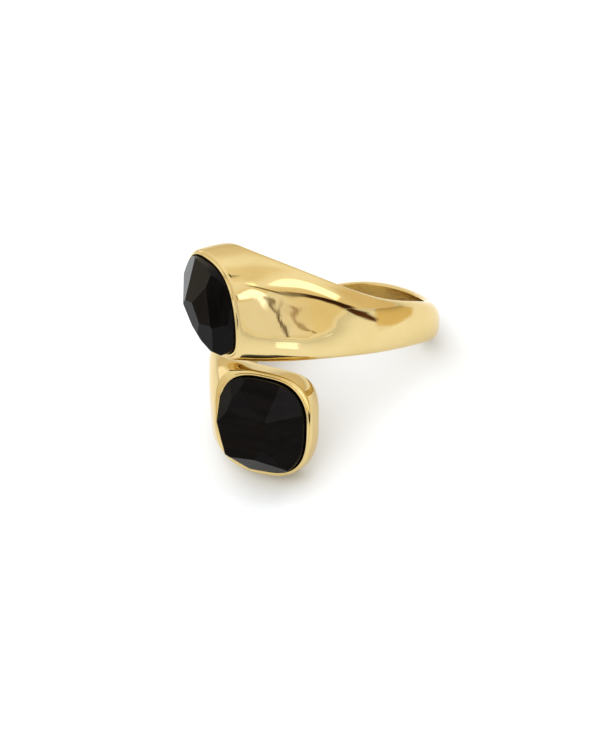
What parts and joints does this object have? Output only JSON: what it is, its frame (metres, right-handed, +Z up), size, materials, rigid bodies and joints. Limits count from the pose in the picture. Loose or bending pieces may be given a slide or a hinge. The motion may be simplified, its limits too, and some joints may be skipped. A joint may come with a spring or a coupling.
{
  "type": "two-stone ring",
  "caption": "Bypass finger ring in polished yellow metal whose two ends widen into bezels, one above the other, each with a faceted black cushion stone.",
  "frame": {"origin": "centre of the underside of the bounding box, on the surface the ring lies on", "axes": "+Z up from that surface, -Y towards the side with both stones that the picture shows"},
  "size_m": [0.0226, 0.0222, 0.0187],
  "materials": {
    "yellow_metal": "polished",
    "black_stone": "polished"
  },
  "bodies": {
    "root": {"band": "yellow_metal", "upper_stone": "black_stone", "lower_stone": "black_stone"}
  },
  "joints": []
}
